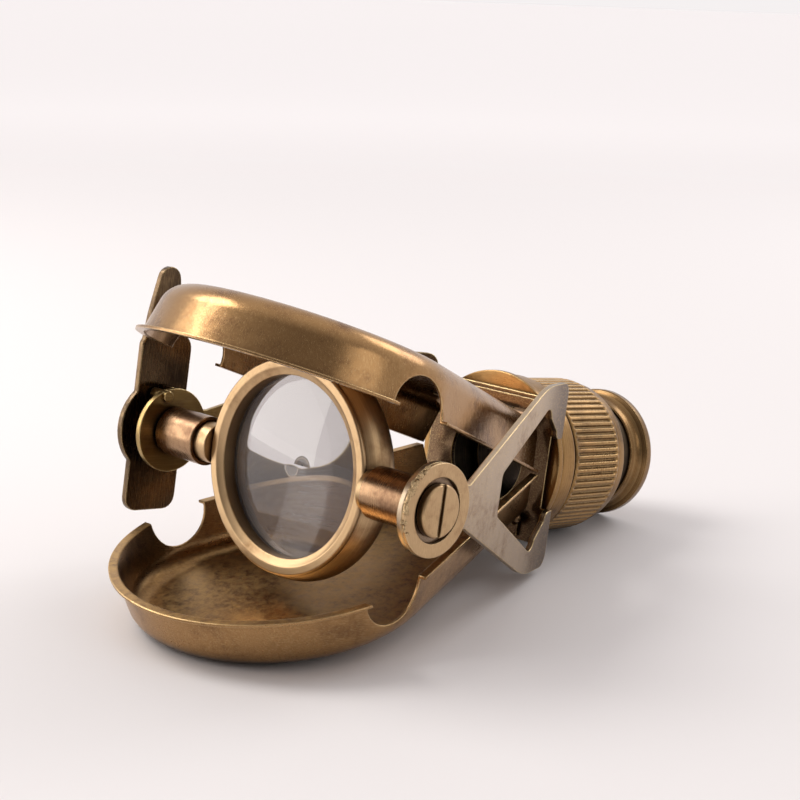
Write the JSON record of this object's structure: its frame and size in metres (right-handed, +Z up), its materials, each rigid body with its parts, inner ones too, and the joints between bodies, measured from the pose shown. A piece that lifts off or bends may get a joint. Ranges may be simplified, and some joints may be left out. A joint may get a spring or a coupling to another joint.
{
  "type": "folding pocket monocular",
  "caption": "Folding brass pocket monocular: a pivoting lens ring in a windowed yoke, clam-shell covers that close over it, a turning key and a screw-focused eyepiece.",
  "frame": {"origin": "on the table, under the middle of the bounding box", "axes": "+Y runs from the lens end to the eye end, +X points to the slotted screw's side, +Z up; the sight line is tipped back by 8.59 degrees about X"},
  "size_m": [0.0702, 0.1214, 0.0581],
  "materials": {
    "yoke_brass": "aged brushed sheet brass with bright rubbed edges",
    "key_brass": "aged brass, dark in the middle and bright along the edges",
    "bright_brass": "turned aged brass with fine turning lines",
    "sleeve_brass": "aged turned brass",
    "cover_brass": "pressed aged brass, brushed, with bright rims",
    "dark_brass": "dark tarnished brass",
    "drum_brass": "ridged aged brass, lighter where fingers rub it",
    "eyecup_brass": "turned aged brass with a bright rim",
    "clear_glass": "clear polished glass"
  },
  "bodies": {
    "frame": {"yoke": "yoke_brass", "eye_washer": "bright_brass", "upper_leaf": "yoke_brass", "lower_leaf": "yoke_brass", "upper_hinge_pin": "bright_brass", "lower_hinge_pin": "bright_brass", "stop_pin": "yoke_brass", "tube_flange": "drum_brass", "tube_collar": "drum_brass", "fixed_tube": "dark_brass"},
    "lens_ring": {"lens_cell": "bright_brass", "lens_bezel": "bright_brass", "objective_lens": "clear_glass", "near_sleeve": "sleeve_brass", "far_sleeve": "sleeve_brass", "pivot_screw": "bright_brass", "key_shaft": "sleeve_brass", "key_spacer": "sleeve_brass", "key_lever": "key_brass", "key_pin": "key_brass"},
    "upper_shell": {"upper_cover": "cover_brass", "upper_knuckle": "dark_brass"},
    "lower_shell": {"lower_cover": "cover_brass", "lower_knuckle": "dark_brass"},
    "drum": {"focus_drum": "drum_brass"},
    "eyepiece": {"eyepiece_tube": "dark_brass", "eye_lens": "clear_glass", "lens_retainer": "dark_brass", "eyecup": "eyecup_brass"}
  },
  "joints": [
    {"name": "lens_turn", "type": "hinge", "parent": "frame", "child": "lens_ring", "pos_m": [0.00145, -0.02967, 0.02603], "axis": [-1, 0, 0], "range_deg": [0, 90]},
    {"name": "upper_cover_swing", "type": "hinge", "parent": "frame", "child": "upper_shell", "pos_m": [0.00145, 0.02139, 0.02792], "axis": [1, 0, 0], "range_deg": [0, 15.7]},
    {"name": "lower_cover_swing", "type": "hinge", "parent": "frame", "child": "lower_shell", "pos_m": [0.00145, 0.01855, 0.00914], "axis": [-1, 0, 0], "range_deg": [0, 15.7]},
    {"name": "focus_turn", "type": "hinge", "parent": "frame", "child": "drum", "pos_m": [0.00145, 0.03015, 0.01699], "axis": [0, 0.9888, -0.1494], "range_deg": [-220, 90]},
    {"name": "eyepiece_slide", "type": "slide", "parent": "frame", "child": "eyepiece", "axis": [0, 0.9888, -0.1494], "range_m": [-0.0049, 0.0021]}
  ],
  "couplings": [
    {"joint": "upper_cover_swing", "follows": "lens_turn", "ratio": 0.17444},
    {"joint": "lower_cover_swing", "follows": "lens_turn", "ratio": 0.17444},
    {"joint": "eyepiece_slide", "follows": "focus_turn", "m_per_rad": 0.00127}
  ]
}
